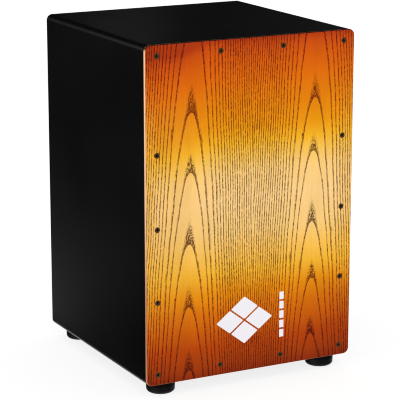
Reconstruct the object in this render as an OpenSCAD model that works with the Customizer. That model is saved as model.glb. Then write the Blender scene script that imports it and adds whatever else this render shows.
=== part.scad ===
// Cajon: a box drum that is sat on and played with the hands.
// A thin ash-faced playing panel is screwed over the open front of an MDF box, and the back
// board has a round sound hole. Inside, a turning bar holds two sets of snare wires against the
// playing panel. A lever, reached through the sound hole, swings them clear of it.
// Millimetres. +Z is up, the playing side faces -Y, left is -X as the listener sees it, and the
// origin is on the floor, midway between the feet.

/* [Box] */
// Width of the box
box_w = 302; // [290:1:330]
// Depth of the box, from the playing face to the back
box_d = 305; // [290:1:330]
// Height of the box without its feet
box_h = 440; // [420:5:470]
// Thickness of the top, bottom and side boards
board_t = 10; // [9:0.5:12]
// Rounding of the four edges that run from front to back
corner_r = 8; // [6:0.5:8.5]
// Easing of the rim around the back
rim_ease = 1.5; // [1:0.5:2.5]
// Leg of the triangular blocks glued along the inside corners
corner_block_leg = 16; // [12:1:22]

/* [Back board] */
// Thickness of the back board
back_t = 8; // [6:0.5:10]
// How far the back board is let into the boards around it
back_rebate = 5; // [4:0.5:6]
// Glue gap around the back board
back_gap = 0.2; // [0.1:0.1:0.4]
// Diameter of the sound hole
hole_d = 115; // [90:1:130]
// Height of the sound hole's centre above the underside of the box
hole_height = 232; // [200:1:260]
// Rounding of the sound hole's outer rim
hole_ease = 2.5; // [1:0.5:3]

/* [Front frame] */
// Width of the rails and stiles behind the playing panel
rail_w = 18; // [16:1:24]
// Depth of the rails and stiles, front to back
rail_d = 16; // [14:1:20]

/* [Playing panel] */
// Thickness of the playing panel
panel_t = 3.5; // [3:0.5:4]
// Rounding of the playing panel's front edges
panel_ease = 1.5; // [0.5:0.5:2]

/* [Panel screws] */
// Distance of the outer screws from the sides of the box
screw_inset_x = 16; // [14:0.5:18]
// Distance of the top and bottom screws from the top and underside of the box
screw_inset_z = 14; // [13:0.5:17]
// Gap below the top screws, wide so that the top corners can be slackened for a sharper slap
slap_gap = 125; // [100:1:140]
// Number of screws along the top and along the bottom
row_screws = 4; // [3:1:5]
// Number of equal gaps below the slap gap, down each side
side_gaps = 3; // [2:1:4]
// Thread diameter of the panel screws
screw_d = 3.5; // [3:0.1:4]
// Length of the panel screws
screw_l = 16; // [14:0.5:18]
// Head diameter of the panel screws
screw_head_d = 7.6; // [7:0.1:8]
// How far the screw heads sit below the playing face
screw_sink = 0.1; // [0:0.05:0.2]

/* [Feet] */
// Diameter of the rubber feet
foot_d = 38; // [32:1:42]
// Height of the rubber feet
foot_h = 17; // [15:0.5:20]
// Rounding of the feet's lower edge
foot_round = 5; // [2:0.5:6]
// Distance of the feet's centres from the sides of the box
foot_inset_x = 31.5; // [30:0.5:50]
// Distance of the feet's centres from the front and back of the box
foot_inset_y = 25; // [25:0.5:50]
// Diameter of the well in the underside of a foot
foot_well_d = 15; // [14:0.5:18]
// Depth of the well
foot_well_h = 9; // [8:0.5:10]
// Washer diameter
washer_d = 14; // [10:0.5:14]
// Washer thickness
washer_t = 1.2; // [0.8:0.1:1.6]
// Thread diameter of the foot screws
foot_screw_d = 4; // [3.5:0.1:5]
// Length of the foot screws under their heads
foot_screw_l = 17; // [14:0.5:18]

/* [Snare bar] */
// Diameter of the bar
bar_d = 24; // [20:1:26]
// Height of the bar's axis above the underside of the box
bar_height = 313; // [290:1:316]
// Distance from the bar's axis to the flat that the snare plates sit on
bar_flat = 10; // [8:0.5:11]
// Diameter of the journals turned on the bar's ends
journal_d = 14; // [12:1:16]
// Radial clearance of the journals in their bushings
journal_gap = 0.05; // [0.02:0.01:0.08]
// Play between the bar's shoulders and the bushings
end_float = 0.5; // [0.3:0.1:1]
// Diameter of the lever
lever_d = 10; // [8:1:12]
// Reach of the lever from the bar's axis
lever_reach = 58; // [45:1:70]

/* [Bearings] */
// Thickness of a bearing block, along the bar
block_t = 18; // [16:1:18]
// Depth of a bearing block, front to back
block_d = 30; // [30:1:36]
// Height of a bearing block
block_h = 52; // [48:1:60]
// Outer diameter of a bushing
bush_d = 18; // [17:0.5:20]
// Diameter of a bushing's flange
flange_d = 22; // [21:0.5:24]
// Thickness of a bushing's flange
flange_t = 1.5; // [1:0.5:2]
// Distance of the block screws above and below the bar's axis
block_screw_offset = 18; // [17:0.5:20]
// Length of the block screws
block_screw_l = 25; // [22:1:26]

/* [Snare wires] */
// Number of coils in a set
coils = 10; // [6:1:12]
// Outer diameter of a coil
coil_d = 2.4; // [2:0.1:3]
// Distance between neighbouring coils
coil_pitch = 4.2; // [3.6:0.1:4.6]
// Reach of the coils from the bar's axis
coil_reach = 95; // [80:1:96]
// Distance of each set's middle from the middle of the box
set_offset = 68; // [55:1:80]
// Gap between the coils' tips and the playing panel
tip_gap = 0.3; // [0.3:0.1:1]
// Width of a snare plate
plate_w = 46; // [44:1:56]
// Height of a snare plate
plate_h = 20; // [18:1:20]
// Thickness of a snare plate
plate_t = 1; // [0.8:0.1:1.2]
// Where the coils start on their plate, above the bar's axis
coil_start = 2; // [1:0.5:4]
// Distance of the plate screws from the middle of their plate
plate_screw_x = 14; // [10:1:18]
// Drop of the plate screws below the bar's axis
plate_screw_drop = 4.5; // [4:0.5:6]

/* [Hidden] */
$fn = 96;
over = 1; // how far a cutter runs past the face it cuts
mid_z = foot_h + box_h / 2;
top_z = foot_h + box_h;
front_y = -box_d / 2;
back_y = box_d / 2;
shell_front = front_y + panel_t;
shell_d = box_d - panel_t;
inner_w = box_w - 2 * board_t;
inner_h = box_h - 2 * board_t;
lip = board_t - back_rebate;
back_w = box_w - 2 * lip;
back_h = box_h - 2 * lip;
frame_back = shell_front + rail_d;
blocks_l = back_y - back_t - frame_back;

// Panel screw places: rows along the top and bottom, columns down both sides
column_x = box_w / 2 - screw_inset_x;
row_step = 2 * column_x / (row_screws - 1);
low_row_z = foot_h + screw_inset_z;
high_row_z = top_z - screw_inset_z;
column_step = (high_row_z - slap_gap - low_row_z) / side_gaps;
row_xs = [for (i = [0:row_screws - 1]) -column_x + i * row_step];
column_zs = [for (i = [1:side_gaps]) low_row_z + i * column_step];
screw_places = concat(
    [for (x = row_xs, z = [low_row_z, high_row_z]) [x, z]],
    [for (x = [-column_x, column_x], z = column_zs) [x, z]]
);
screw_tip = 4;
pan_head_d = 2;    // times the thread diameter
pan_head_h = 0.6;  // times the thread diameter
clearance = 0.1;   // added to the diameter of a hole that a screw passes through freely

// Foot places
foot_x = box_w / 2 - foot_inset_x;
foot_y = box_d / 2 - foot_inset_y;

// Snare geometry: the coils lean forward until their tips almost touch the playing panel
bar_y = frame_back + block_d / 2;
bar_z = foot_h + bar_height;
bar_half = inner_w / 2 - block_t - flange_t - end_float;
journal_l = block_t + flange_t - end_float;
coil_front = bar_flat + plate_t + coil_d;
tip_reach = bar_y - shell_front - tip_gap;
coil_diagonal = sqrt(coil_front * coil_front + coil_reach * coil_reach);
snare_tilt = asin(tip_reach / coil_diagonal) - atan2(coil_front, coil_reach);
plate_screw_d = 3;
plate_screw_l = 12;

// ---- Shared shapes ----

// Half section of a block: reach wide, depth tall, its outer top corner rounded
module eased_section(reach, depth, ease) {
    square([reach - ease, depth]);
    square([reach, depth - ease]);
    translate([reach - ease, depth - ease]) circle(r = ease);
}

// Whole section of a block, both top corners rounded
module eased_pair(width, depth, ease) {
    for (side = [0, 1]) mirror([side, 0]) eased_section(width / 2, depth, ease);
}

// Block w by h and depth tall: upright edges rounded by r, top rim rounded by ease
module eased_block(w, h, depth, r, ease) {
    for (x = [r - w / 2, w / 2 - r], y = [r - h / 2, h / 2 - r])
        translate([x, y, 0]) rotate_extrude() eased_section(r, depth, ease);
    translate([0, h / 2 - r, 0]) rotate([90, 0, 0])
        linear_extrude(h - 2 * r) eased_pair(w, depth, ease);
    translate([r - w / 2, 0, 0]) rotate([90, 0, 90])
        linear_extrude(w - 2 * r) eased_pair(h, depth, ease);
}

// Cross recess of a screw head, cut from z = 0 upwards
module cross_recess(span, depth) {
    for (turn = [0, 90])
        rotate(turn) cube([span, span / 4, 2 * depth], center = true);
}

// Countersunk wood screw: head face at z = 0, point at z = l
module countersunk_screw(d, l, head_d) {
    difference() {
        union() {
            cylinder(d1 = head_d, d2 = d, h = (head_d - d) / 2);
            cylinder(d = d, h = l - screw_tip);
            translate([0, 0, l - screw_tip]) cylinder(d1 = d, d2 = d / 4, h = screw_tip);
        }
        cross_recess(head_d * 0.55, (head_d - d) / 2 * 0.8);
    }
}

// Hole for a countersunk screw whose head face is sunk below z = 0
module countersunk_hole(d, l, head_d, sink) {
    cone_d = head_d + 2 * sink;
    cylinder(d1 = cone_d, d2 = d, h = (cone_d - d) / 2);
    translate([0, 0, -over]) cylinder(d = d, h = l + over);
}

// Pan head screw: underside of the head at z = 0, shank upwards to z = l
module pan_head_screw(d, l) {
    head_h = d * pan_head_h;
    cylinder(d = d, h = l - screw_tip);
    translate([0, 0, l - screw_tip]) cylinder(d1 = d, d2 = d / 4, h = screw_tip);
    difference() {
        translate([0, 0, -head_h]) cylinder(d1 = d * pan_head_d * 0.8, d2 = d * pan_head_d, h = head_h);
        translate([0, 0, -head_h]) cross_recess(d, head_h * 0.6);
    }
}

// Lays a shape that points up so that it points to the back, or to one side
module pointing_back() rotate([-90, 0, 0]) children();
module pointing_sideways(side) rotate([0, 90 * side, 0]) children();

module at_panel_screws(y) {
    for (place = screw_places) translate([place[0], y, place[1]]) pointing_back() children();
}

module panel_pilot_holes() {
    at_panel_screws(front_y + screw_sink) cylinder(d = screw_d, h = screw_l);
}

// ---- Box ----

// Outside of the box behind the playing panel, with its rear rim eased
module box_envelope() {
    translate([0, shell_front, mid_z]) rotate([-90, 0, 0])
        eased_block(box_w, box_h, shell_d, corner_r, rim_ease);
}

// One board: the part of the envelope inside a slab, with the rebate for the back board
module board(size, centre) {
    difference() {
        intersection() {
            box_envelope();
            translate(centre) cube(size, center = true);
        }
        translate([-back_w / 2, back_y - back_t, mid_z - back_h / 2])
            cube([back_w, back_t + over, back_h]);
    }
}

module level_board(top) {
    z = top ? top_z - board_t / 2 : foot_h + board_t / 2;
    board([box_w, 2 * box_d, board_t], [0, 0, z]);
}

module side_board(side) {
    difference() {
        board([board_t, 2 * box_d, inner_h], [side * (box_w - board_t) / 2, 0, mid_z]);
        at_block_screws(side) cylinder(d = screw_d, h = block_screw_l);
    }
}

module top_board() color("#181818") level_board(true);

module bottom_board() {
    color("#181818") difference() {
        level_board(false);
        at_feet() translate([0, 0, foot_well_h - over]) cylinder(d = foot_screw_d, h = foot_screw_l + over);
    }
}

module left_board() color("#131313") side_board(-1);
module right_board() color("#131313") side_board(1);

module back_board() {
    color("#161616") translate([0, back_y, 0]) difference() {
        translate([back_gap - back_w / 2, -back_t, back_gap + mid_z - back_h / 2])
            cube([back_w - 2 * back_gap, back_t, back_h - 2 * back_gap]);
        translate([0, 0, foot_h + hole_height]) rotate([90, 0, 0]) sound_hole();
    }
}

// Sound hole cutter with a rounded mouth at z = 0, running down to z = back_t
module sound_hole() {
    translate([0, 0, -over]) cylinder(d = hole_d, h = back_t + 2 * over);
    rotate_extrude() difference() {
        square([hole_d / 2 + hole_ease, hole_ease]);
        translate([hole_d / 2 + hole_ease, hole_ease]) circle(r = hole_ease);
    }
}

// ---- Front frame and glue blocks ----

module rail(z) {
    color("#c9a678") difference() {
        translate([-inner_w / 2, shell_front, z]) cube([inner_w, rail_d, rail_w]);
        panel_pilot_holes();
    }
}

module stile(x) {
    color("#c9a678") difference() {
        translate([x, shell_front, foot_h + board_t + rail_w])
            cube([rail_w, rail_d, inner_h - 2 * rail_w]);
        panel_pilot_holes();
    }
}

module top_rail() rail(top_z - board_t - rail_w);
module bottom_rail() rail(foot_h + board_t);
module left_stile() stile(-inner_w / 2);
module right_stile() stile(inner_w / 2 - rail_w);

// Triangular block in one of the inside corners; side and level are -1 or 1
module corner_block(side, level) {
    leg = corner_block_leg;
    color("#b08f63")
        translate([side * inner_w / 2, frame_back, mid_z + level * inner_h / 2])
            rotate([-90, 0, 0]) linear_extrude(blocks_l)
                polygon([[0, 0], [-side * leg, 0], [0, level * leg]]);
}

module corner_block_top_left() corner_block(-1, 1);
module corner_block_top_right() corner_block(1, 1);
module corner_block_bottom_left() corner_block(-1, -1);
module corner_block_bottom_right() corner_block(1, -1);

// ---- Playing panel ----

module playing_panel() {
    color("#d98a2b") difference() {
        translate([0, shell_front, mid_z]) rotate([90, 0, 0])
            eased_block(box_w, box_h, panel_t, corner_r, panel_ease);
        at_panel_screws(front_y)
            countersunk_hole(screw_d + clearance, screw_l, screw_head_d, screw_sink);
    }
}

module panel_screws() {
    color("#6d675f") at_panel_screws(front_y + screw_sink)
        countersunk_screw(screw_d, screw_l, screw_head_d);
}

// ---- Feet ----

module at_foot(side, end) translate([side * foot_x, end * foot_y, 0]) children();

module at_feet() {
    for (side = [-1, 1], end = [-1, 1]) at_foot(side, end) children();
}

module foot(side, end) {
    color("#1b1c1d") at_foot(side, end) difference() {
        translate([0, 0, foot_h]) mirror([0, 0, 1])
            rotate_extrude() eased_section(foot_d / 2, foot_h, foot_round);
        translate([0, 0, -over]) cylinder(d = foot_well_d, h = foot_well_h + over);
        cylinder(d = foot_screw_d + clearance, h = foot_h + over);
    }
}

module foot_front_left() foot(-1, -1);
module foot_front_right() foot(1, -1);
module foot_back_left() foot(-1, 1);
module foot_back_right() foot(1, 1);

module foot_washers() {
    color("silver") at_feet() translate([0, 0, foot_well_h - washer_t]) difference() {
        cylinder(d = washer_d, h = washer_t);
        translate([0, 0, -over]) cylinder(d = foot_screw_d + clearance, h = washer_t + 2 * over);
    }
}

module foot_screws() {
    color("silver") at_feet() translate([0, 0, foot_well_h - washer_t])
        pan_head_screw(foot_screw_d, foot_screw_l);
}

// ---- Bearings of the snare bar ----

module at_bar() translate([0, bar_y, bar_z]) children();

// Places of the block screws on one side, pointing into the side board
module at_block_screws(side) {
    for (level = [-1, 1])
        at_bar() translate([side * (inner_w / 2 - block_t), 0, level * block_screw_offset])
            pointing_sideways(side) children();
}

module bearing_block(side) {
    color("#c9a678") difference() {
        at_bar() translate([side * (inner_w - block_t) / 2, 0, 0])
            cube([block_t, block_d, block_h], center = true);
        at_bar() pointing_sideways(side) cylinder(d = bush_d, h = box_w);
        at_block_screws(side) countersunk_hole(screw_d, block_screw_l, screw_head_d, 0);
    }
}

module bearing_block_left() bearing_block(-1);
module bearing_block_right() bearing_block(1);

// Flanged bushing, its flange on the block's inner face
module bushing(side) {
    bore_d = journal_d + 2 * journal_gap;
    color("#e8e4da") at_bar() pointing_sideways(side)
        translate([0, 0, inner_w / 2 - block_t - flange_t]) difference() {
            union() {
                cylinder(d = flange_d, h = flange_t);
                cylinder(d = bush_d, h = flange_t + block_t);
            }
            translate([0, 0, -over]) cylinder(d = bore_d, h = flange_t + block_t + 2 * over);
        }
}

module bushing_left() bushing(-1);
module bushing_right() bushing(1);

module block_screws() {
    color("silver") for (side = [-1, 1])
        at_block_screws(side) countersunk_screw(screw_d, block_screw_l, screw_head_d);
}

// ---- Snare bar, which turns ----

// Frame of the snare plates and coils, leaning forward about the bar's axis
module at_snare() at_bar() rotate([snare_tilt, 0, 0]) children();

module at_plate_screws(d) {
    for (side = [-1, 1], half = [-1, 1])
        at_snare() translate([side * set_offset + half * plate_screw_x, d, -plate_screw_drop])
            pointing_back() children();
}

module snare_bar() {
    color("#d2b083") difference() {
        at_bar() for (side = [-1, 1]) pointing_sideways(side) {
            cylinder(d = bar_d, h = bar_half);
            cylinder(d = journal_d, h = bar_half + journal_l);
        }
        at_snare() translate([-bar_half - over, -bar_d, -bar_d])
            cube([2 * (bar_half + over), bar_d - bar_flat, 2 * bar_d]);
        at_plate_screws(-bar_flat) cylinder(d = plate_screw_d, h = plate_screw_l);
        at_bar() pointing_back() cylinder(d = lever_d, h = bar_d);
    }
}

module snare_lever() {
    shaft = lever_reach - lever_d / 2;
    color("#d2b083") at_bar() pointing_back() {
        cylinder(d = lever_d, h = shaft);
        translate([0, 0, shaft]) sphere(d = lever_d);
    }
}

module snare_plate(side) {
    color("silver") difference() {
        at_snare() translate([side * set_offset, -bar_flat - plate_t / 2, 0])
            cube([plate_w, plate_t, plate_h], center = true);
        at_plate_screws(-bar_flat - plate_t - over)
            cylinder(d = plate_screw_d + clearance, h = plate_t + 2 * over);
    }
}

module snare_plate_left() snare_plate(-1);
module snare_plate_right() snare_plate(1);

module snare_wires(side) {
    color("#c9ccd0") for (i = [0:coils - 1])
        at_snare()
            translate([side * set_offset + (i - (coils - 1) / 2) * coil_pitch,
                       -bar_flat - plate_t - coil_d / 2, coil_start])
                cylinder(d = coil_d, h = coil_reach - coil_start);
}

module snare_wires_left() snare_wires(-1);
module snare_wires_right() snare_wires(1);

module plate_screws() {
    color("silver") at_plate_screws(-bar_flat - plate_t)
        pan_head_screw(plate_screw_d, plate_screw_l);
}

// ---- Assembly ----

playing_panel();
panel_screws();
top_board();
bottom_board();
left_board();
right_board();
back_board();
top_rail();
bottom_rail();
left_stile();
right_stile();
corner_block_top_left();
corner_block_top_right();
corner_block_bottom_left();
corner_block_bottom_right();
foot_front_left();
foot_front_right();
foot_back_left();
foot_back_right();
foot_washers();
foot_screws();
bearing_block_left();
bearing_block_right();
bushing_left();
bushing_right();
block_screws();
snare_bar();
snare_lever();
snare_plate_left();
snare_plate_right();
snare_wires_left();
snare_wires_right();
plate_screws();
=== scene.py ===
"""Looks of the cajon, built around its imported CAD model.

Objects are in metres, +Z is up and the playing side faces -Y. Materials and mesh outlines are worked
out in millimetres in the same frame, so z is the height over the floor.
"""

from math import cos, hypot, pi, radians, sin
from random import Random

import bmesh
import bpy
from mathutils import Matrix, Vector

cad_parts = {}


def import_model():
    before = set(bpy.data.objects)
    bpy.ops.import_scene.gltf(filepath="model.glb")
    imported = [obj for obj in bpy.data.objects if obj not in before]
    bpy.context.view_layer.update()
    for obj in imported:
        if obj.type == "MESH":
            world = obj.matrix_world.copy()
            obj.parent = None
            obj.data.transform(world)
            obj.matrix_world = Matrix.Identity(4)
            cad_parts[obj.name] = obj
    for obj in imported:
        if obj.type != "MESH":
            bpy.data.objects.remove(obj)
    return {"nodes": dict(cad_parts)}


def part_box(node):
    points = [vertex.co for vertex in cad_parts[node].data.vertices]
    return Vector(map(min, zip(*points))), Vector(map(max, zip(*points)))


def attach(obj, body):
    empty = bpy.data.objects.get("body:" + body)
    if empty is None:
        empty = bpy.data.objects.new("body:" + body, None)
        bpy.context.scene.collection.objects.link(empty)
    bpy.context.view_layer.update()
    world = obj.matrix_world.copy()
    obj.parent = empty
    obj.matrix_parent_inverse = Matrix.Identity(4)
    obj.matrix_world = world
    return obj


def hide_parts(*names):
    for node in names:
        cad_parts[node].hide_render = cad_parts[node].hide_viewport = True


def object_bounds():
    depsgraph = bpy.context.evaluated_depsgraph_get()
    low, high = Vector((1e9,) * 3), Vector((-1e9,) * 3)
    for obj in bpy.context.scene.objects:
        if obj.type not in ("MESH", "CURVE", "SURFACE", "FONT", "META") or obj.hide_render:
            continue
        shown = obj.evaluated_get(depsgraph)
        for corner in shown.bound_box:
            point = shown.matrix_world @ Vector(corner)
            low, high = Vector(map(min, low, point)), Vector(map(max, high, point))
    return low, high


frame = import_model()
cad_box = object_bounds()

MM = 0.001

# ---- Sizes read from the frame, in millimetres ----


def corners(node):
    """Lowest and highest corner of a CAD node."""
    low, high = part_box(node)
    return low / MM, high / MM


PANEL_LOW, PANEL_HIGH = corners("playing_panel")
FACE_Y, SHELL_Y = PANEL_LOW.y, PANEL_HIGH.y
BACK_INNER_Y, BACK_Y = (corner.y for corner in corners("back_board"))
HALF_W = PANEL_HIGH.x
INNER_X = -corners("left_board")[1].x
UNDER_Z, TOP_Z = PANEL_LOW.z, PANEL_HIGH.z
TALL, MID_Z = TOP_Z - UNDER_Z, (UNDER_Z + TOP_Z) / 2
INNER_HALF_Z = (corners("top_board")[0].z - corners("bottom_board")[1].z) / 2


# ---- Colours ----


def linear(r, g, b):
    """Linear RGBA of an sRGB colour given as 0 to 255."""
    def one(v):
        v /= 255
        return v / 12.92 if v <= 0.04045 else ((v + 0.055) / 1.055) ** 2.4

    return one(r), one(g), one(b), 1.0


BLACK, WHITE = (0, 0, 0, 1), (1, 1, 1, 1)


# ---- Node trees written as arithmetic ----


class Num:
    """A number field. Arithmetic on it adds Math nodes."""

    def __init__(self, graph, socket):
        self.graph, self.socket = graph, socket

    def __add__(self, o):
        return self.graph.math("ADD", self, o)

    def __radd__(self, o):
        return self.graph.math("ADD", o, self)

    def __sub__(self, o):
        return self.graph.math("SUBTRACT", self, o)

    def __rsub__(self, o):
        return self.graph.math("SUBTRACT", o, self)

    def __mul__(self, o):
        return self.graph.math("MULTIPLY", self, o)

    __rmul__ = __mul__

    def __truediv__(self, o):
        return self.graph.math("DIVIDE", self, o)

    def __abs__(self):
        return self.graph.math("ABSOLUTE", self)

    def __pow__(self, o):
        return self.graph.math("POWER", self, o)


class Graph:
    """A node tree, emptied first."""

    def __init__(self, tree):
        self.tree = tree
        tree.nodes.clear()

    def add(self, kind, *values, **settings):
        """A node with its first inputs set or linked. None leaves an input as it is."""
        node = self.tree.nodes.new(kind)
        for name, value in settings.items():
            setattr(node, name, value)
        for i, value in enumerate(values):
            self.plug(node.inputs[i], value)
        return node

    def plug(self, socket, value):
        if isinstance(value, Num):
            value = value.socket
        if isinstance(value, bpy.types.NodeSocket):
            self.tree.links.new(value, socket)
        elif value is not None:
            socket.default_value = value

    def math(self, operation, *values, clamp=False):
        node = self.add("ShaderNodeMath", *values, operation=operation, use_clamp=clamp)
        return Num(self, node.outputs[0])

    def vec(self, x, y, z):
        return self.add("ShaderNodeCombineXYZ", x, y, z).outputs[0]

    def noise(self, vector, detail=2.0, rough=0.5):
        """Noise from 0 to 1, about 0.5."""
        node = self.add("ShaderNodeTexNoise")
        for name, value in (("Vector", vector), ("Scale", 1.0), ("Detail", detail), ("Roughness", rough)):
            self.plug(node.inputs[name], value)
        return Num(self, node.outputs["Fac"])

    def step(self, value, low, high):
        """0 at low, 1 at high, smooth between. low may be the greater, for a falling step."""
        ends = (low, high, 0.0, 1.0) if low < high else (high, low, 1.0, 0.0)
        node = self.add("ShaderNodeMapRange", value, *ends, interpolation_type="SMOOTHSTEP")
        return Num(self, node.outputs[0])

    def ramp(self, value, stops):
        """Colour ramp. Stops are (place from 0 to 1, colour)."""
        node = self.add("ShaderNodeValToRGB", value)
        elements = node.color_ramp.elements
        elements[0].position, elements[0].color = stops[0]
        elements[1].position, elements[1].color = stops[-1]
        for place, colour in stops[1:-1]:
            elements.new(place).color = colour
        return node.outputs[0]

    def curve(self, value, points):
        """A smooth curve through (value, result) points, straight beyond its ends. The node works
        from 0 to 1, so both are divided by the last point's."""
        span, tall = points[-1]
        node = self.add("ShaderNodeFloatCurve")
        node.mapping.extend = "EXTRAPOLATED"
        node.mapping.use_clip = False
        line = node.mapping.curves[0]
        while len(line.points) < len(points):
            line.points.new(0.5, 0.5)
        for knot, (a, b) in zip(line.points, points):
            knot.location = (a / span, b / tall)
            knot.handle_type = "AUTO"
        node.mapping.update()
        self.plug(node.inputs["Value"], value / span)
        return Num(self, node.outputs[0]) * tall

    def mix(self, fac, a, b, blend="MIX"):
        node = self.add("ShaderNodeMix", data_type="RGBA", blend_type=blend)
        self.plug(node.inputs["Factor"], fac)
        self.plug(node.inputs[6], a)
        self.plug(node.inputs[7], b)
        return node.outputs[2]

    def tint(self, colour, amount):
        """A colour times a number field."""
        return self.mix(1.0, colour, self.vec(amount, amount, amount), "MULTIPLY")

    def bump(self, height, depth, normal=None):
        """A height field from 0 to 1 that stands for depth, in millimetres."""
        node = self.add("ShaderNodeBump")
        for name, value in (("Strength", 1.0), ("Distance", depth * MM), ("Height", height),
                            ("Normal", normal)):
            self.plug(node.inputs[name], value)
        return node.outputs[0]


class Surface(Graph):
    """The node tree of one material. x, y and z are the place in millimetres."""

    def __init__(self, name):
        self.material = bpy.data.materials.new(name)
        self.material.use_nodes = True
        super().__init__(self.material.node_tree)
        coords = self.add("ShaderNodeTexCoord").outputs["Object"]
        place = self.add("ShaderNodeVectorMath", coords, operation="SCALE")
        place.inputs["Scale"].default_value = 1 / MM
        axes = self.add("ShaderNodeSeparateXYZ", place.outputs[0])
        self.x, self.y, self.z = (Num(self, axes.outputs[i]) for i in range(3))

    def stretched(self, sx, sy, sz, offset=0.0):
        """The place, each axis multiplied, so 0.1 makes features 10 mm long."""
        return self.vec(self.x * sx + offset, self.y * sy + offset, self.z * sz + offset)

    def shader(self, **values):
        """Principled BSDF as the surface. Underscores in names stand for spaces."""
        node = self.add("ShaderNodeBsdfPrincipled")
        for name, value in values.items():
            self.plug(node.inputs[name.replace("_", " ")], value)
        self.add("ShaderNodeOutputMaterial", node.outputs[0])
        return self.material


# ---- Ash veneer of the playing panel ----

# Sunburst as (height above the underside in millimetres, colour)
BURST = [
    (0, (134, 40, 6)), (16, (158, 56, 2)), (40, (178, 66, 0)), (64, (198, 90, 0)),
    (88, (213, 111, 0)), (112, (228, 141, 4)), (138, (241, 178, 46)), (160, (245, 189, 80)),
    (190, (244, 199, 120)), (232, (248, 204, 134)), (268, (246, 200, 120)), (288, (243, 190, 80)),
    (306, (241, 175, 34)), (326, (230, 147, 4)), (352, (224, 128, 0)), (388, (220, 106, 0)),
    (412, (210, 90, 2)), (430, (198, 74, 8)), (440, (172, 54, 8)),
]
# Colour of the grain lines over the same heights
LINES = [
    (0, (76, 8, 0)), (64, (98, 20, 0)), (112, (110, 37, 0)), (160, (94, 50, 12)),
    (232, (80, 50, 24)), (290, (94, 50, 10)), (330, (108, 36, 0)), (400, (104, 14, 0)),
    (440, (74, 8, 0)),
]
RING = 85.0        # height from one cathedral point to the next
TOP_RING = 116.0   # the same above the highest point, which leaves the top open
ARCH = 4.4         # width squared over height of the cathedrals
STRAIGHT = 58.0    # distance from a column's middle beyond which the grain runs straight
LEFT_COLUMN, RIGHT_COLUMN = -87.5, 91.0
LEAN, LEAN_Z = 0.015, 220   # the left column leans by this much per height, about this height
ARCHED, UPRIGHT = 18, 62    # distances from a column's middle where the lines begin and end to straighten
SWAY, RIPPLE = 9, 2.2       # slow and quick wander of the lines
BOOK_MATCH = 2.0   # where the mirrored leaves of veneer meet
LEFT_POINTS = [98, 181, 274, 351]
RIGHT_POINTS = [37, 113, 190, 285, 355]
CURVE_Z, CURVE_RINGS = 200.0, 10   # added to heights and ring counts, so that the curves start above 0
FLAME = 0.36       # share of a ring, over its point, where pores crowd into a flame
FLAME_HALF = 18.0  # half its width at the point
PLY_LAYERS = [
    (0.0, (236, 176, 128)), (0.17, (232, 172, 124)), (0.18, (120, 66, 34)), (0.21, (245, 196, 152)),
    (0.5, (250, 205, 165)), (0.79, (245, 196, 152)), (0.82, (120, 66, 34)), (0.83, (226, 180, 130)),
    (1.0, (226, 180, 130)),
]


def stops(colours, span=1.0):
    """Colour ramp stops of (place, sRGB colour) pairs, where span is the last place."""
    return [(place / span, linear(*colour)) for place, colour in colours]


def rings(g, height, points):
    """Growth ring count at a height: a whole number at each cathedral point."""
    knots = [(points[0] - RING * (2 - i), i - 2) for i in range(2)]
    knots += [(point, i) for i, point in enumerate(points)]
    knots += [(points[-1] + TOP_RING + RING * i, len(points) + i) for i in range(3)]
    return g.curve(height + CURVE_Z, [(a + CURVE_Z, b + CURVE_RINGS) for a, b in knots])


def growth_ring(g):
    """The place within its growth ring, 0 to 1, how much that changes per millimetre sideways, the
    distance to the middle of its column of cathedrals, and the share of straight grain."""
    up = g.z - UNDER_Z
    slow = g.noise(g.stretched(0.006, 0, 0.006, 2.5)) - 0.5
    wave = g.noise(g.stretched(0.10, 0, 0.035, 7.0), detail=4.0, rough=0.6) - 0.5
    right = g.step(g.x, BOOK_MATCH - 0.2, BOOK_MATCH + 0.2)
    column = right * (RIGHT_COLUMN - LEFT_COLUMN) + (1 - right) * (up - LEAN_Z) * LEAN + LEFT_COLUMN
    far = g.step(abs(g.x - column), ARCHED, UPRIGHT)
    reach = abs(g.x + slow * SWAY + wave * (1 - far * 0.75) * RIPPLE - column)
    curved = g.math("MINIMUM", reach, STRAIGHT)
    height = up + curved * (reach * 2 - curved) / ARCH
    count = rings(g, height, LEFT_POINTS)
    count = count + right * (rings(g, height, RIGHT_POINTS) - count)
    uneven = g.noise(g.stretched(0.16, 0, 0.01, 3.0), detail=2.0) - 0.5
    into = g.math("FRACT", count + uneven * far * 0.5)
    return into, curved * (2 / (ARCH * RING)), reach, far


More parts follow.
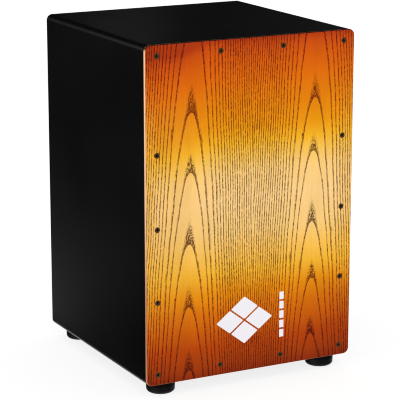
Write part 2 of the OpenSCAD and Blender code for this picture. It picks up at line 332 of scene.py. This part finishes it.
def ash_grain(g):
    """Dark pore lines of flat-sawn ash, then the smooth late wood and the share of straight grain,
    each 0 to 1."""
    into, slope, reach, far = growth_ring(g)
    # Thickness of a line in millimetres: beaded, smeared in places, finer where the grain is straight
    beads = g.noise(g.stretched(0.5, 0.5, 0.30, 17.0), detail=3.0, rough=0.6) - 0.5
    smear = g.step(g.noise(g.stretched(0.05, 0, 0.022, 13.0), detail=2.0), 0.58, 0.70)
    thick = (2.12 - far * 0.56 + beads * (3.6 - far * 1.2)) * (smear * (1 - far * 0.5) * 0.7 + 1)
    width = g.math("SQRT", slope * slope * thick * thick + 0.009)
    line = g.math("MULTIPLY", 1 - into / width, 2.4, clamp=True)
    # Single pores break it into dashes and specks
    pores = g.noise(g.stretched(0.9, 0.9, 0.24, 11.0), detail=2.0, rough=0.6)
    speck = g.noise(g.stretched(1.1, 1.1, 0.45, 5.0), detail=1.0)
    dashed, specked = g.step(pores, 0.38, 0.50), g.step(speck, 0.40, 0.54)
    line = line * (1 - (1 - dashed) * (far * 0.2 + 0.58)) * (1 - (1 - specked) * (0.36 - far * 0.2))
    # Pores crowd into a flame over each cathedral point
    flame = g.math("SUBTRACT", 1.0, into / FLAME, clamp=True)
    tongue = g.math("SUBTRACT", 1.0, reach / (flame * FLAME_HALF + 1.2), clamp=True)
    strength = g.noise(g.stretched(0.004, 0, 0.014, 31.0)) * 5.2
    line = g.math("MAXIMUM", line, g.math("MULTIPLY", tongue * flame * specked, strength, clamp=True))
    return line, g.step(into, 0.35, 0.8), far


def sunburst(g, up, fibre):
    """The sunburst stain with painted shade on its left side, and the colour of the grain lines in it."""
    cloud = g.noise(g.stretched(0.012, 0.012, 0.02, 2.0)) - 0.5
    left_side, right_side = g.step(g.x, -50, -120), g.step(g.x, 100, 150)
    # Painted shade: higher up on the left side the stain's colours are shifted darker
    sprayed_and_shaded = up + cloud * 0.02 + left_side * g.step(up, 0.4, 0.8) * 0.036
    stain = g.ramp(sprayed_and_shaded, stops(BURST, TALL))
    # Amber margins at middle height, then a darker corner low on the right
    margin = g.step(abs(g.x), 124, 150) * (1 - right_side * 0.5)
    lit = 1 - g.step(abs(up - 0.52), 0.12, 0.4)
    amber = g.math("MAXIMUM", margin, left_side * 0.4) * lit
    stain = g.mix(amber * 0.7, stain, linear(240, 176, 62))
    corner = g.step(g.x, 40, 150) * g.step(up, 0.32, 0.08)
    stain = g.mix(corner * 0.22, stain, linear(128, 34, 2))
    figure = g.noise(g.stretched(0.05, 0.05, 0.016, 9.0), detail=4.0)
    # Figure and fibre vary the stain; painted shade darkens the whole left side a little
    stain = g.tint(stain, (figure - 0.5) * 0.22 + (fibre - 0.5) * 0.24 + 0.98 - left_side * 0.035)
    return stain, g.ramp(sprayed_and_shaded, stops(LINES, TALL))


def ply_edge(g, up):
    """Layers of the sanded plywood edge. Spray reached its top; it is darker along its bottom edge, and
    painted shade darkens its lower part.
    """
    ply = g.ramp((g.y - FACE_Y) / (SHELL_Y - FACE_Y), stops(PLY_LAYERS))
    ply = g.tint(ply, g.noise(g.stretched(0.6, 3.0, 0.9, 4.0), detail=3.0) * 0.35 + 0.82)
    ply = g.mix(g.step(g.z, TOP_Z - 8, TOP_Z - 4), ply, linear(62, 12, 10))
    # Darker along the bottom edge
    ply = g.mix(g.step(g.z, UNDER_Z + 3, UNDER_Z + 0.8) * 0.6, ply, linear(110, 40, 26))
    # Painted shade: the edge darker towards the bottom
    return g.mix(g.step(up, 0.6, 0.15) * 0.8, ply, linear(158, 88, 62))


def playing_panel_wood():
    """Lacquered ash in front, bare plywood at the edges and behind."""
    g = Surface("lacquered_ash")
    up = (g.z - UNDER_Z) / TALL
    line, late, far = ash_grain(g)
    fibre = g.noise(g.stretched(2.2, 2.2, 0.03, 1.0), detail=2.0)
    fine = g.step(g.noise(g.stretched(1.9, 1.9, 0.22, 21.0), detail=1.0), 0.58, 0.72)
    stain, dark = sunburst(g, up, fibre)
    amount = g.math("MAXIMUM", line * 0.95, fine * (1 - late * 0.7) * (far * 0.45 + 0.15))
    face = g.mix(amount, stain, dark)
    depth = g.y - FACE_Y + (g.noise(g.stretched(0.2, 0.2, 0.2)) - 0.5) * 0.3
    bare = g.step(depth, 0.12, 0.4)
    back = g.tint(linear(206, 176, 138), fibre * 0.3 + 0.82)
    back = g.mix(fine * 0.45, back, linear(120, 86, 56))
    colour = g.mix(bare, face, ply_edge(g, up))
    colour = g.mix(g.step(g.y, SHELL_Y - 0.3, SHELL_Y - 0.1), colour, back)
    haze = g.noise(g.stretched(0.03, 0.03, 0.03)) - 0.5
    rough = 0.40 + amount * 0.12 + bare * 0.15 + haze * 0.08
    sunk = g.bump(1 - amount, 0.05)
    peel = g.bump(g.noise(g.stretched(0.5, 0.5, 0.5), detail=1.0), 0.02, sunk)
    return g.shader(Base_Color=colour, Roughness=rough, Normal=peel, Specular_IOR_Level=0.06)


# ---- The other materials ----


def near_edges(g, reach, fade):
    """1 along the outside edges of the black box, 0 beyond reach millimetres from them."""
    side = g.step(HALF_W - abs(g.x), reach, fade)
    level = g.step(TALL / 2 - abs(g.z - MID_Z), reach, fade)
    ends = g.math("MAXIMUM", g.step(BACK_Y - g.y, reach, fade), g.step(g.y - SHELL_Y, reach, fade))
    return g.math("MAXIMUM", side * level, g.math("MAXIMUM", side, level) * ends)


def black_lacquer():
    """Black lacquer outside, rubbed pale at some edges, and bare board with overspray inside."""
    g = Surface("black_lacquer_on_mdf")
    inside = g.step(abs(g.x), INNER_X + 0.3, INNER_X + 0.1)
    inside = inside * g.step(abs(g.z - MID_Z), INNER_HALF_Z + 0.3, INNER_HALF_Z + 0.1)
    mist = (g.noise(g.stretched(0.4, 0.4, 0.4, 6.0), detail=3.0) - 0.5) * 4
    inside = inside * g.step(g.y + mist, BACK_INNER_Y + 3.2, BACK_INNER_Y + 0.6)
    patch = g.noise(g.stretched(0.008, 0.008, 0.011, 3.0), detail=2.0)
    dust = g.step(g.noise(g.stretched(0.9, 0.9, 0.9, 8.0), detail=1.0), 0.74, 0.80)
    rubbed = near_edges(g, 2.2, 0.2) * g.step(
        g.noise(g.stretched(0.11, 0.11, 0.11, 2.0), detail=5.0, rough=0.65), 0.56, 0.70)
    paint = g.mix(patch, linear(5, 5, 5), linear(9, 9, 10))
    paint = g.mix(dust * 0.25, paint, linear(44, 43, 42))
    paint = g.mix(rubbed * 0.55, paint, linear(52, 48, 44))
    fibre = g.noise(g.stretched(0.8, 0.8, 0.8, 1.0), detail=5.0, rough=0.7)
    board = g.ramp(fibre, stops([(0.3, (118, 86, 56)), (0.5, (156, 120, 84)), (0.7, (182, 148, 110))]))
    rough = 0.36 + (patch - 0.5) * 0.16 + inside * 0.5 + rubbed * 0.15 + dust * 0.2
    peel = g.noise(g.stretched(0.32, 0.32, 0.32, 5.0), detail=2.0)
    height = peel * (1 - inside) * 0.5 + fibre * inside
    return g.shader(Base_Color=g.mix(inside, paint, board), Roughness=rough,
                    Normal=g.bump(height, 0.06), Specular_IOR_Level=0.45)


def softwood():
    """Planed spruce. Its grain runs along whichever axis the piece is long in, so one tree serves all."""
    g = Surface("planed_softwood")
    upright = g.step(abs(g.x), INNER_X - 20, INNER_X - 17) * g.step(
        abs(g.z - MID_Z), INNER_HALF_Z - 17, INNER_HALF_Z - 19)
    turned = g.noise(g.stretched(0.01, 0.05, 0.004, 2.0), detail=3.0)
    flat = g.noise(g.stretched(0.004, 0.05, 0.01, 12.0), detail=3.0)
    ring_up = g.x * 0.34 + g.y * 0.22 + turned * 5
    ring_flat = g.z * 0.34 + g.y * 0.22 + flat * 5
    ring = g.math("FRACT", ring_flat + upright * (ring_up - ring_flat))
    late = g.step(ring, 0.45, 0.95)
    fuzz = g.noise(g.stretched(0.7, 1.5, 0.7, 3.0), detail=4.0)
    colour = g.mix(late, linear(222, 190, 142), linear(186, 138, 88))
    colour = g.tint(colour, fuzz * 0.3 + 0.83)
    height = late * 0.5 + fuzz * 0.5
    return g.shader(Base_Color=colour, Roughness=0.62 + fuzz * 0.2, Normal=g.bump(height, 0.08),
                    Specular_IOR_Level=0.3)


def beech():
    """Sanded beech: pinkish tan with the short dark flecks of its rays along the grain."""
    g = Surface("sanded_beech")
    bulk = g.noise(g.stretched(0.012, 0.16, 0.16, 5.0), detail=3.0)
    flecks = g.step(g.noise(g.stretched(0.22, 1.6, 1.6, 9.0), detail=1.0), 0.60, 0.68)
    fibre = g.noise(g.stretched(0.05, 2.0, 2.0, 4.0), detail=3.0)
    colour = g.ramp(bulk, stops([(0.3, (196, 146, 104)), (0.55, (214, 168, 124)), (0.75, (224, 182, 140))]))
    colour = g.tint(colour, fibre * 0.2 + 0.9)
    colour = g.mix(flecks * 0.5, colour, linear(138, 84, 52))
    return g.shader(Base_Color=colour, Roughness=0.48 + fibre * 0.16,
                    Normal=g.bump(fibre * 0.7 + flecks * 0.3, 0.04), Specular_IOR_Level=0.4)


def black_rubber():
    """Moulded rubber: eroded grain on the wall, paler dust and scuffs low down where it meets the floor."""
    g = Surface("moulded_rubber")
    grain = g.noise(g.stretched(1.6, 1.6, 1.6), detail=3.0, rough=0.7)
    patch = g.noise(g.stretched(0.08, 0.08, 0.12, 4.0), detail=3.0)
    floor_dust = g.step(g.z, 3.5, 0.2) * g.step(patch, 0.42, 0.62)
    colour = g.mix(patch, linear(4, 4, 6), linear(9, 10, 12))
    colour = g.mix(floor_dust * 0.4, colour, linear(70, 68, 65))
    rough = 0.36 + grain * 0.14 + floor_dust * 0.25
    return g.shader(Base_Color=colour, Roughness=rough, Normal=g.bump(grain, 0.05), Specular_IOR_Level=0.18)


def screw_steel():
    """Bronze-dark plating, near black in the recess as painted shade, and worn bright on the rim by the
    driver.
    """
    g = Surface("plated_screw_steel")
    spot = g.noise(g.stretched(0.9, 0.9, 0.9, 6.0), detail=4.0, rough=0.65)
    sunk = g.step(g.y - FACE_Y, 0.2, 1.0)
    worn = g.step(spot, 0.56, 0.68) * (1 - sunk)
    colour = g.mix(spot, linear(88, 62, 38), linear(134, 100, 64))
    # Painted shade: the recess and what lies below it go near black
    colour = g.mix(sunk * 0.9, colour, linear(20, 18, 16))
    colour = g.mix(worn * 0.4, colour, linear(196, 176, 144))
    rough = 0.34 + spot * 0.2 + sunk * 0.2
    return g.shader(Base_Color=colour, Metallic=0.75, Roughness=rough, Normal=g.bump(spot, 0.02))


def zinc_steel():
    """Zinc plating: pale, with faint blue and straw patches of its passivation."""
    g = Surface("zinc_plated_steel")
    patch = g.noise(g.stretched(0.25, 0.25, 0.25, 3.0), detail=4.0)
    brushed = g.noise(g.stretched(0.3, 4.0, 4.0, 8.0), detail=2.0)
    colour = g.ramp(patch, stops([(0.32, (176, 184, 196)), (0.5, (196, 198, 200)), (0.66, (206, 200, 180))]))
    return g.shader(Base_Color=colour, Metallic=1.0, Roughness=0.26 + brushed * 0.22,
                    Normal=g.bump(brushed, 0.015))


def snare_steel():
    """Bright drawn wire with slight drawing marks."""
    g = Surface("bright_spring_steel")
    mark = g.noise(g.stretched(3.0, 3.0, 3.0, 2.0), detail=3.0)
    colour = g.mix(mark, linear(186, 188, 192), linear(216, 217, 220))
    return g.shader(Base_Color=colour, Metallic=1.0, Roughness=0.2 + mark * 0.16, Normal=g.bump(mark, 0.01))


def nylon():
    """Natural nylon: milky, with turning marks and slight yellowing."""
    g = Surface("natural_nylon")
    patch = g.noise(g.stretched(0.2, 0.2, 0.2, 5.0), detail=3.0)
    turning = g.noise(g.stretched(3.0, 0.4, 0.4, 7.0), detail=2.0)
    colour = g.mix(patch, linear(232, 228, 214), linear(222, 212, 184))
    return g.shader(Base_Color=colour, Roughness=0.42 + turning * 0.14, Normal=g.bump(turning, 0.02),
                    Subsurface_Weight=0.15, Subsurface_Scale=0.002)


def white_ink():
    """Screen-printed white ink that follows the grain below and breaks up a little over the pores."""
    g = Surface("printed_white_ink")
    pores = g.noise(g.stretched(0.95, 0.95, 0.14, 11.0), detail=2.0, rough=0.6)
    worn = g.step(pores, 0.66, 0.74)
    patch = g.noise(g.stretched(0.05, 0.05, 0.05, 3.0), detail=3.0)
    colour = g.mix(patch, linear(232, 229, 236), linear(240, 237, 243))
    colour = g.mix(worn * 0.3, colour, linear(214, 150, 90))
    return g.shader(Base_Color=colour, Roughness=0.45 + patch * 0.15, Normal=g.bump(pores, 0.04),
                    Specular_IOR_Level=0.35)


# ---- Meshes ----


def placed(name, data):
    """A new object in the scene."""
    made = bpy.data.objects.new(name, data)
    bpy.context.scene.collection.objects.link(made)
    return made


def mesh_object(name, bm, material):
    """Turns a bmesh in metres into an object."""
    mesh = bpy.data.meshes.new(name)
    bm.to_mesh(mesh)
    bm.free()
    mesh.materials.append(material)
    return placed(name, mesh)


def new_piece(name, bm, material, body, slot, *nodes):
    """Turns a bmesh into a piece that rides on a body and stands for CAD nodes."""
    bmesh.ops.recalc_face_normals(bm, faces=bm.faces)
    piece = mesh_object(name, bm, material)
    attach(piece, body)
    if nodes:
        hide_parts(*nodes)
    return piece


def smooth_by_angle(piece, degrees):
    """Smooth shading with hard edges where faces meet at more than this angle."""
    piece.data.shade_smooth()
    piece.data.set_sharp_from_angle(angle=radians(degrees))


def circle(place, r, h, steps):
    """Points of a circle about the local Z axis, at height h."""
    turns = [2 * pi * i / steps for i in range(steps)]
    return [place @ Vector((r * cos(a), r * sin(a), h)) for a in turns]


def tube(bm, loops, joined=False):
    """Faces between closed loops of points. Its ends are capped, or joined to each other."""
    rows = [[bm.verts.new(p) for p in loop] for loop in loops]
    for a, b in zip(rows, rows[1:] + rows[:1] if joined else rows[1:]):
        n = len(a)
        for i in range(n):
            bm.faces.new((a[i], a[(i + 1) % n], b[(i + 1) % n], b[i]))
    if not joined:
        bm.faces.new(rows[0])
        bm.faces.new(rows[-1])


def arc(cx, cy, r, start, end, steps):
    """Points of a circular arc, angles in degrees."""
    turns = [radians(start + (end - start) * i / steps) for i in range(steps + 1)]
    return [(cx + r * cos(a), cy + r * sin(a)) for a in turns]


# ---- Panel screws ----

HEAD_R = 7.6 / 2
SHANK_R = 3.5 / 2
CORE_R = SHANK_R * 0.72   # between the thread's ridges
SCREW_LENGTH = 16.0
THREAD_START = 2.2        # depth below the head's face
THREAD_PITCH = 1.6
THREAD_HALF = 0.22        # half a ridge's foot over the pitch
THREAD_RINGS = 74
POINT_LENGTH = 4.0
SCREW_STEPS = 64
SUNK = 0.1                # the head's face lies this far below the panel's
RECESS_ARM = 2.15         # reach of the cross recess from the screw's axis
RECESS_HALF = 0.62        # half the width of its arms at the face
RECESS_DEEP = 1.55
RECESS_WALL, RECESS_END = 0.16, 0.75   # run of its sloping walls, beside and at the end of an arm
SHANK_ONLY = 12.0         # depth below the face where a CAD screw is only shank
SCREW_APART = 8.0         # points nearer than this belong to one screw


def cross_depth(x, y):
    """Depth of the tapered cross recess below the head's face."""
    def arm(along, side):
        wall = (RECESS_HALF - abs(side)) / RECESS_WALL
        end = (RECESS_ARM - abs(along)) / RECESS_END
        return max(0.0, min(1.0, wall)) * max(0.0, min(1.0, end))

    return RECESS_DEEP * max(arm(x, y), arm(y, x))


def screw_head_loops(place):
    """Loops of the head from its middle to its rim: a fine grid, so that the recess is real geometry."""
    turns, loops = [2 * pi * i / SCREW_STEPS for i in range(SCREW_STEPS)], []
    for r in [0.12 * i for i in range(1, 22)] + [2.9, 3.3, 3.6, HEAD_R - 0.06]:
        spots = [(r * cos(a), r * sin(a)) for a in turns]
        loops.append([place @ Vector((x, y, SUNK + cross_depth(x, y))) for x, y in spots])
    for r, h in ((HEAD_R, 0.06), (HEAD_R - 0.02, 0.18), (SHANK_R * 0.92, 2.1)):
        loops.append(circle(place, r, SUNK + h, SCREW_STEPS))
    return loops


def screw_thread_loops(place):
    """Loops of the threaded shank down to its point."""
    start, tip, loops = SUNK + THREAD_START, SUNK + SCREW_LENGTH, []
    for k in range(THREAD_RINGS + 1):
        h = start + (tip - start) * k / THREAD_RINGS
        taper = min(1.0, (tip - h) / POINT_LENGTH + 0.04)
        loop = []
        for i in range(SCREW_STEPS):
            turn = i / SCREW_STEPS
            phase = (h / THREAD_PITCH - turn) % 1.0
            ridge = max(0.0, 1 - abs(phase - 0.5) / THREAD_HALF)
            r = (CORE_R + (SHANK_R - CORE_R) * ridge) * taper
            loop.append(place @ Vector((r * cos(2 * pi * turn), r * sin(2 * pi * turn), h)))
        loops.append(loop)
    return loops


def screw_middles():
    """Places of the panel's screws as (x, z), row by row, from the CAD screws' mesh."""
    groups = []
    for vertex in frame["nodes"]["panel_screws"].data.vertices:
        x, y, z = vertex.co / MM
        if y > FACE_Y + SHANK_ONLY:
            near = [g for g in groups if hypot(g[0][0] - x, g[0][1] - z) < SCREW_APART]
            if near:
                near[0].append((x, z))
            else:
                groups.append([(x, z)])
    middles = [[(min(axis) + max(axis)) / 2 for axis in zip(*group)] for group in groups]
    return sorted(middles, key=lambda p: (round(p[1]), round(p[0])))


def panel_screws(material):
    """The panel's screws, each turned to its own angle."""
    rng = Random(11)
    bm = bmesh.new()
    for x, z in screw_middles():
        place = (Matrix.Translation(Vector((x, FACE_Y, z)) * MM) @ Matrix.Scale(MM, 4)
                 @ Matrix.Rotation(-pi / 2, 4, "X") @ Matrix.Rotation(rng.uniform(0, pi / 2), 4, "Z"))
        tube(bm, screw_head_loops(place) + screw_thread_loops(place))
    piece = new_piece("panel_screw_set", bm, material, "box", "screw_steel", "panel_screws")
    smooth_by_angle(piece, 32)


# ---- Feet ----

FEET = ("foot_front_left", "foot_front_right", "foot_back_left", "foot_back_right")
FOOT_STEPS = 96
HOLE_R = 2.1                  # the screw's hole
WELL_R, WELL_H = 7.5, 9.0     # the well that the washer and the screw's head sit in
SOLE_RINGS = (10.3, 12.3)     # two fine rings moulded into the sole
EDGE_R = 5.0                  # rounding of the sole's edge


def foot_profile():
    """Outline of a rubber foot from its well's middle out and up, as (radius, height)."""
    lip, sole_lip, top_lip = 0.4, 0.9, 0.65   # roundings of the well's ceiling and mouth, and of the top
    low, high = corners(FEET[0])
    r, tall = (high.x - low.x) / 2, high.z
    points = [(HOLE_R, WELL_H)] + arc(WELL_R - lip, WELL_H - lip, lip, 90, 0, 4)
    points += [(WELL_R, 1.0)] + arc(WELL_R + sole_lip, sole_lip, sole_lip, 180, 270, 6)
    for groove in SOLE_RINGS:
        points += [(groove - 0.35, 0.0), (groove - 0.15, 0.45), (groove + 0.15, 0.45), (groove + 0.35, 0.0)]
    points += arc(r - EDGE_R - 0.2, EDGE_R, EDGE_R, -90, -12, 14)
    # A slight step halfway up the wall
    points += [(r - 0.12, tall * 0.52), (r - 0.06, tall * 0.55), (r, tall * 0.56), (r, tall * 0.58),
               (r - 0.07, tall * 0.59)]
    points += arc(r - 0.1 - top_lip, tall - top_lip, top_lip, 0, 90, 6)
    return points + [(HOLE_R, tall)]


def feet(material):
    for node in FEET:
        low, high = corners(node)
        middle = Vector(((low.x + high.x) / 2, (low.y + high.y) / 2, 0))
        place = Matrix.Translation(middle * MM) @ Matrix.Scale(MM, 4)
        bm = bmesh.new()
        tube(bm, [circle(place, r, h, FOOT_STEPS) for r, h in foot_profile()], joined=True)
        piece = new_piece("rubber_" + node, bm, material, "box", "black_rubber", node)
        smooth_by_angle(piece, 40)


# ---- Snare wires ----

WIRE_R = 0.25
WIRE_STEPS = 5
COIL_R = 1.2        # to the outside of the wire
COIL_PITCH = 1.6
COIL_STEPS = 11     # points in one turn
COIL_LEG = 3.0      # straight wire at each end
COILS = 10          # in one set


def coil(bm, start, end):
    """A close coil of wire between two points, with straight legs at its ends."""
    axis = (end - start).normalized()
    side = Vector((1, 0, 0))
    other = axis.cross(side).normalized()
    length = (end - start).length
    turns = round((length - 2 * COIL_LEG) / COIL_PITCH)
    path = [start]
    for k in range(turns * COIL_STEPS + 1):
        t = k / COIL_STEPS
        a = 2 * pi * t
        along = COIL_LEG + (length - 2 * COIL_LEG) * t / turns
        path.append(start + axis * along + (side * cos(a) + other * sin(a)) * (COIL_R - WIRE_R))
    path.append(end)
    loops = []
    for before, p, after in zip(path[:1] + path, path, path[1:] + path[-1:]):
        tangent = (after - before).normalized()
        u = tangent.cross(axis)
        u = u.normalized() if u.length > 1e-6 else side
        v = tangent.cross(u).normalized()
        around = [2 * pi * i / WIRE_STEPS for i in range(WIRE_STEPS)]
        loops.append([(p + (u * cos(a) + v * sin(a)) * WIRE_R) * MM for a in around])
    tube(bm, loops)


def snare_wires(material):
    """Wound coils in the places of the CAD wires, whose ends give the coils theirs."""
    for side in ("left", "right"):
        node = "snare_wires_" + side
        spots = [v.co / MM for v in frame["nodes"][node].data.vertices]
        xs = [round(p.x, 2) for p in spots]
        low, high = min(xs), max(xs)
        apart = (high - low - 2 * COIL_R) / (COILS - 1)
        bm = bmesh.new()
        for i in range(COILS):
            x = low + COIL_R + i * apart
            own = [p for p in spots if abs(p.x - x) < COIL_R + 0.05]
            middle = sum(p.z for p in own) / len(own)
            upper = [p for p in own if p.z > middle]
            lower = [p for p in own if p.z <= middle]
            start, end = (sum(half, Vector()) / len(half) for half in (upper, lower))
            start.x = end.x = x
            coil(bm, start, end)
        piece = new_piece("snare_coils_" + side, bm, material, "snare", "snare_steel", node)
        piece.data.shade_smooth()


# ---- Printed mark ----

MARK_X, MARK_Z = -9.5, UNDER_Z + 69.5
MARK_PROUD, MARK_SUNK = 0.06, 0.05                      # the ink's front and rear, from the face
DIAMOND_HALF, DIAMOND_GAP, DIAMOND_CORNER = 19.2, 2.4, 1.3   # half width, half gap, corner radius
DIAMOND_FLAT = 0.77                                     # height over width
BLOCKS_X, BLOCK_HALF_W, BLOCK_HALF_H, BLOCK_PITCH = 46.0, 3.2, 5.1, 12.9


def ink_patch(bm, outline):
    """A thin patch of ink with this outline, (x, z) points."""
    front = [bm.verts.new(Vector((x, FACE_Y - MARK_PROUD, z)) * MM) for x, z in outline]
    rear = [bm.verts.new(Vector((x, FACE_Y + MARK_SUNK, z)) * MM) for x, z in outline]
    bm.faces.new(front)
    bm.faces.new(rear[::-1])
    n = len(outline)
    for i in range(n):
        bm.faces.new((front[i], rear[i], rear[(i + 1) % n], front[(i + 1) % n]))


def diamond(dx, dz):
    """Outline of the diamond that lies dx, dz from the mark's middle, in steps of a diamond."""
    outline = []
    step, straight = DIAMOND_HALF + DIAMOND_GAP, DIAMOND_HALF - DIAMOND_CORNER
    for a in (radians(90 * turn) for turn in range(4)):
        for b in (a - pi / 4, a, a + pi / 4):
            x = dx * step + straight * cos(a) + DIAMOND_CORNER * cos(b)
            z = dz * step + straight * sin(a) + DIAMOND_CORNER * sin(b)
            outline.append((MARK_X + x, MARK_Z + z * DIAMOND_FLAT))
    return outline


def printed_mark(material):
    """A plain ornament: four flat diamonds with a column of five blocks beside them. No lettering."""
    bm = bmesh.new()
    for dx, dz in ((-1, 0), (1, 0), (0, -1), (0, 1)):
        ink_patch(bm, diamond(dx, dz))
    left, right = BLOCKS_X - BLOCK_HALF_W, BLOCKS_X + BLOCK_HALF_W
    for i in range(5):
        z = MARK_Z + (i - 2) * BLOCK_PITCH
        low, high = z - BLOCK_HALF_H, z + BLOCK_HALF_H
        ink_patch(bm, [(left, low), (right, low), (right, high), (left, high)])
    new_piece("printed_mark", bm, material, "box", "ash_veneer")


# ---- Stage ----

FLOOR_R = 14.0          # metres
GLOW_SIDE, GLOW_BACK = 0.45, 0.86   # sideways and rearward parts of the way the floor's glow spreads
GLOW_REACH = 750        # how far along that way from the left board it fades out
GLOW_Y = (-60, 340)     # where along the board it begins, and where it is full
GLOW_STRENGTH = 0.36
GLOW_LOW, GLOW_HIGH = (-1400, -700), (-178, 1800)   # x and y of the card's corners
GLOW_Z = -1             # just below the floor
ROOM_STRENGTH = 0.012   # what reflections see of the room
# Paler parts of the room: direction, dot product where one begins, strength in its middle
ROOM_GLOWS = (
    ((0.35, -0.9, -0.1), 0.1, 0.13), ((0.8, 0.45, -0.35), 0.72, 0.7), ((-0.93, -0.25, -0.3), 0.82, 1.1),
    ((0, 0, -1), 0.42, 1.4), ((0.14, 0.86, -0.52), 0.95, 1.1),
)


def stage():
    g = Surface("pale_floor")
    mottle = g.noise(g.stretched(0.002, 0.002, 0.002), detail=2.0)
    pale = g.mix(mottle, linear(126, 126, 126), linear(132, 132, 132))
    material = g.shader(Base_Color=pale, Roughness=0.9, Specular_IOR_Level=0.1,
                        Emission_Color=WHITE, Emission_Strength=0.82)
    bm = bmesh.new()
    bmesh.ops.create_circle(bm, cap_ends=True, segments=96, radius=FLOOR_R)
    floor = mesh_object("floor", bm, material)
    floor.visible_glossy = False


def floor_glow():
    """What the side boards' gloss sees of the floor behind on the left. Nothing else sees it."""
    g = Surface("floor_glow")
    away = (g.x + HALF_W) * (-1 / GLOW_SIDE)
    along = g.y - away * GLOW_BACK
    strength = g.step(away, GLOW_REACH, 0) ** 1.5 * g.step(along, *GLOW_Y) * GLOW_STRENGTH
    material = g.shader(Base_Color=BLACK, Roughness=1.0, Specular_IOR_Level=0.0,
                        Emission_Color=WHITE, Emission_Strength=strength)
    material.cycles.emission_sampling = "NONE"
    bm = bmesh.new()
    (x0, y0), (x1, y1) = GLOW_LOW, GLOW_HIGH
    bm.faces.new([bm.verts.new(Vector((x, y, GLOW_Z)) * MM)
                  for x, y in ((x0, y0), (x1, y0), (x1, y1), (x0, y1))])
    card = mesh_object("floor_glow", bm, material)
    card.visible_camera = card.visible_diffuse = card.visible_shadow = card.visible_transmission = False


def softbox(name, place, aim, size, power):
    """A rectangular lamp that the camera doesn't see."""
    lamp = bpy.data.lights.new(name, "AREA")
    lamp.shape = "RECTANGLE"
    lamp.size, lamp.size_y = size
    lamp.energy = power
    holder = placed(name, lamp)
    holder.location = place
    holder.rotation_euler = (Vector(aim) - Vector(place)).to_track_quat("-Z", "Y").to_euler()
    holder.visible_camera = False


def light():
    softbox("key", (-1.1, -3.0, 2.0), (0, 0, 0.25), (1.8, 1.8), 12.5)
    softbox("top_glow", (0.30, 0.87, 0.76), (-0.07, 0.0, 0.49), (0.15, 0.12), 0.0088)
    softbox("rear", (-2.4, 2.2, 1.3), (0, 0.1, 0.3), (1.2, 1.2), 8)


def world():
    """White to the camera and for soft light. Reflections see a dim room with paler parts."""
    made = bpy.data.worlds.new("studio")
    made.use_nodes = True
    made.cycles.sampling_method = "NONE"
    g = Graph(made.node_tree)
    path = g.add("ShaderNodeLightPath")
    way = g.add("ShaderNodeTexCoord").outputs["Generated"]
    level = ROOM_STRENGTH
    for facing, begin, strength in ROOM_GLOWS:
        toward = g.add("ShaderNodeVectorMath", way, Vector(facing).normalized(), operation="DOT_PRODUCT")
        level = level + g.step(toward.outputs["Value"], begin, 1.0) * strength
    white = g.add("ShaderNodeBackground", WHITE, 1.0)
    pale = g.add("ShaderNodeBackground", WHITE, 0.97)
    room = g.add("ShaderNodeBackground", (0.8, 0.8, 0.8, 1), level)
    lit = g.add("ShaderNodeMixShader", path.outputs["Is Glossy Ray"], pale.outputs[0], room.outputs[0])
    seen = g.add("ShaderNodeMixShader", path.outputs["Is Camera Ray"], lit.outputs[0], white.outputs[0])
    g.add("ShaderNodeOutputWorld", seen.outputs[0])
    bpy.context.scene.world = made


def camera():
    """The photograph's viewpoint, fitted to the box's edges."""
    azimuth, dip, distance = radians(27.62), radians(13.80), 2.574
    aside = Vector((0.0023, -0.0053, -0.0147))   # from the box's middle to where the camera aims
    target = (Vector(cad_box[0]) + Vector(cad_box[1])) / 2 + aside
    ahead = Vector((sin(azimuth) * cos(dip), cos(azimuth) * cos(dip), -sin(dip)))
    data = bpy.data.cameras.new("camera")
    data.lens, data.sensor_width = 171.0, 36.0
    eye = placed("camera", data)
    eye.location = target - ahead * distance
    eye.rotation_euler = (pi / 2 - dip, 0, -azimuth)
    bpy.context.scene.camera = eye


# ---- Assembly ----


def paint(material, *nodes):
    for node in nodes:
        mesh = frame["nodes"][node].data
        mesh.materials.clear()
        mesh.materials.append(material)


def dress():
    """Materials for the CAD nodes that stay, and finer pieces in place of the others."""
    blocks = [f"corner_block_{row}_{side}" for row in ("top", "bottom") for side in ("left", "right")]
    paint(playing_panel_wood(), "playing_panel")
    paint(black_lacquer(), "top_board", "bottom_board", "left_board", "right_board", "back_board")
    paint(softwood(), "top_rail", "bottom_rail", "left_stile", "right_stile", *blocks)
    paint(beech(), "bearing_block_left", "bearing_block_right", "snare_bar", "snare_lever")
    paint(nylon(), "bushing_left", "bushing_right")
    paint(zinc_steel(), "foot_washers", "foot_screws", "block_screws", "plate_screws",
          "snare_plate_left", "snare_plate_right")
    panel_screws(screw_steel())
    feet(black_rubber())
    snare_wires(snare_steel())
    printed_mark(white_ink())


dress()
stage()
floor_glow()
world()
light()
camera()
bpy.context.scene.view_settings.view_transform = "Standard"
bpy.context.scene.cycles.filter_width = 1.1
